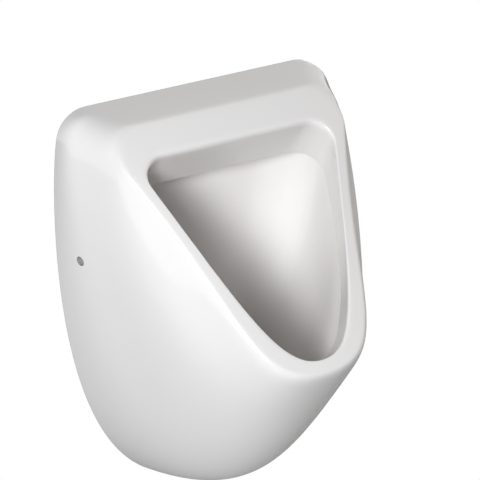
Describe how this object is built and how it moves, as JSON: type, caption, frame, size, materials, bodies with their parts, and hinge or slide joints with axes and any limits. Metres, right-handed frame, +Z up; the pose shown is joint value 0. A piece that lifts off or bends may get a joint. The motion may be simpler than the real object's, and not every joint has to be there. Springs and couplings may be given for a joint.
{
  "type": "wall hung urinal",
  "caption": "Wall-hung urinal of glazed white china with a flat top, a rolled rim and a deep bowl tapering to a forward lip, with inlet, waste, trap and wall brackets inside.",
  "frame": {"origin": "bottom centre of the flat wall face", "axes": "+Z up, +Y into the wall, +X to the right of someone facing the wall; the front looks along -Y"},
  "size_m": [0.3812, 0.3331, 0.554],
  "materials": {
    "china": "opaque white vitreous china with a glossy glaze",
    "chrome": "polished chrome plate",
    "rubber": "matt black rubber",
    "trap_plastic": "white moulded plastic",
    "grey_plastic": "grey nylon",
    "brass": "machined brass",
    "stainless": "plain stainless steel",
    "galvanised": "galvanised steel plate"
  },
  "bodies": {
    "urinal": {"ceramic_body": "china", "waste_flange": "chrome", "waste_gasket": "rubber", "waste_washer": "rubber", "trap_union_seal": "rubber", "trap_cup_seal": "rubber", "outlet_seal": "rubber", "inlet_seal": "rubber", "inlet_sleeve": "rubber", "left_bracket_pad": "rubber", "right_bracket_pad": "rubber", "trap_body": "trap_plastic", "trap_cup": "trap_plastic", "trap_dip_tube": "trap_plastic", "trap_union_nut": "trap_plastic", "outlet_tube": "trap_plastic", "outlet_union_nut": "trap_plastic", "flush_spreader": "trap_plastic", "inlet_washer": "grey_plastic", "left_side_bush": "grey_plastic", "right_side_bush": "grey_plastic", "inlet_connector": "brass", "inlet_lock_nut": "brass", "waste_back_nut": "stainless", "left_side_screw": "stainless", "right_side_screw": "stainless", "left_screw_nut": "stainless", "right_screw_nut": "stainless", "left_hanger_bracket": "galvanised", "right_hanger_bracket": "galvanised"},
    "strainer": {"drain_strainer": "chrome"}
  },
  "joints": [
    {"name": "strainer_lift", "type": "slide", "parent": "urinal", "child": "strainer", "axis": [0, 0, 1], "range_m": [0, 0.05]}
  ]
}
